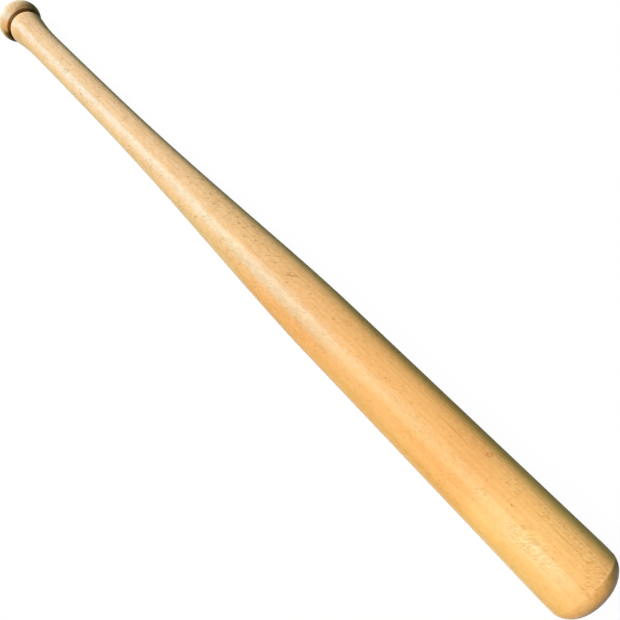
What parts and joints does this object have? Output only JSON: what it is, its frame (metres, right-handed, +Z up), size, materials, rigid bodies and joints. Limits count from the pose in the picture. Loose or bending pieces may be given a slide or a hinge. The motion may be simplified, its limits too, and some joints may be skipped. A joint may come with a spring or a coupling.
{
  "type": "baseball bat",
  "caption": "Turned wooden baseball bat in one piece: round knob, narrow groove, rolled flare, slim grip and a long taper into a full barrel with a softly rounded end.",
  "frame": {"origin": "middle of the knob's flat end, on the bat's axis", "axes": "+X along the bat's axis from the knob to the barrel, +Z up, with the bat lying level"},
  "size_m": [0.762, 0.0612, 0.0612],
  "materials": {
    "lacquered_wood": "satin lacquer over pale honey-coloured, close-grained hardwood"
  },
  "bodies": {
    "root": {"bat_billet": "lacquered_wood"}
  },
  "joints": []
}
